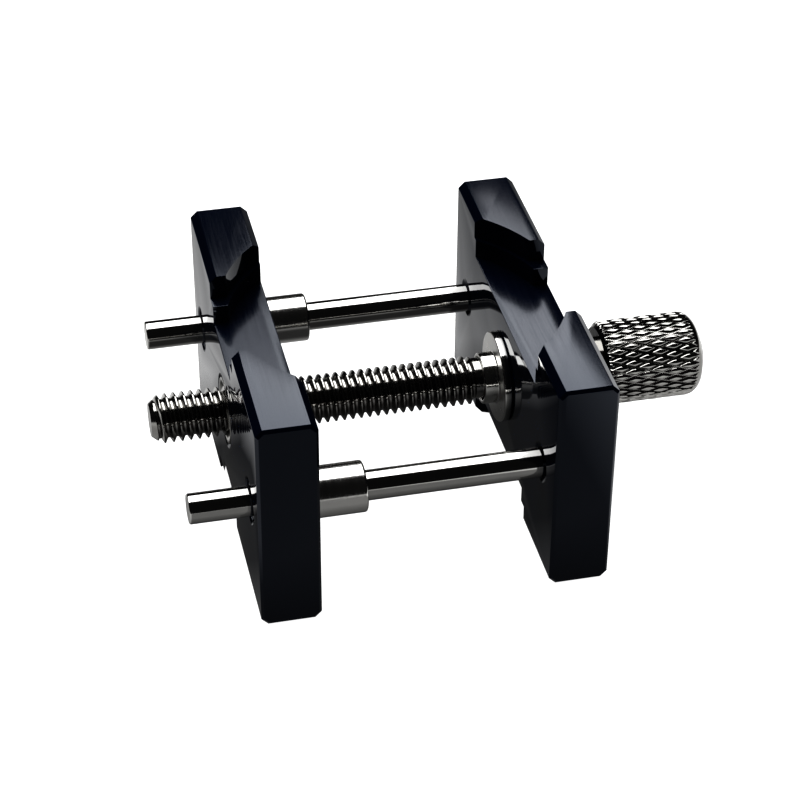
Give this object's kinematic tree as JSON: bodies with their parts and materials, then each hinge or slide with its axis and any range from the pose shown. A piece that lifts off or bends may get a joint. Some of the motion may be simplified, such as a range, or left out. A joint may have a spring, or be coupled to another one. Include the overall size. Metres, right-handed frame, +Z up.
{
  "type": "watch movement holder",
  "caption": "Reversible screw-adjusted holder: stepped round seats in black jaws that slide on guide rods, drawn together by a knurled knob.",
  "frame": {"origin": "centre of the object's bounding box at the plane it stands on, with the jaws open as stored", "axes": "+X along the screw from its free end to the knob, +Y along the jaws, +Z up with the large seat on top"},
  "size_m": [0.0578, 0.04, 0.0234],
  "materials": {
    "jaw_black": "black anodised aluminium, glossy, finely brushed along the jaw",
    "rod_steel": "ground and polished steel",
    "bushing_steel": "fine turned steel, satin",
    "nut_steel": "turned steel",
    "screw_steel": "bright cut thread",
    "collar_steel": "turned and polished steel",
    "knob_steel": "nickel plated, diamond knurled, polished domed end"
  },
  "bodies": {
    "fixed_jaw_body": {"fixed_jaw": "jaw_black", "guide_rod_front": "rod_steel", "guide_rod_rear": "rod_steel"},
    "moving_jaw_body": {"moving_jaw": "jaw_black", "guide_bushing_front": "bushing_steel", "guide_bushing_rear": "bushing_steel", "lead_nut": "nut_steel"},
    "screw_body": {"lead_screw": "screw_steel", "thrust_collar": "collar_steel", "knob": "knob_steel"}
  },
  "joints": [
    {"name": "screw_turn", "type": "hinge", "parent": "fixed_jaw_body", "child": "screw_body", "pos_m": [0, 0, 0.0117], "axis": [-1, 0, 0], "range_deg": [-2305, 7243]},
    {"name": "jaw_slide", "type": "slide", "parent": "fixed_jaw_body", "child": "moving_jaw_body", "axis": [1, 0, 0], "range_m": [-0.0056, 0.0176]}
  ],
  "couplings": [
    {"joint": "screw_turn", "follows": "jaw_slide", "rad_per_m": 7180.8}
  ]
}
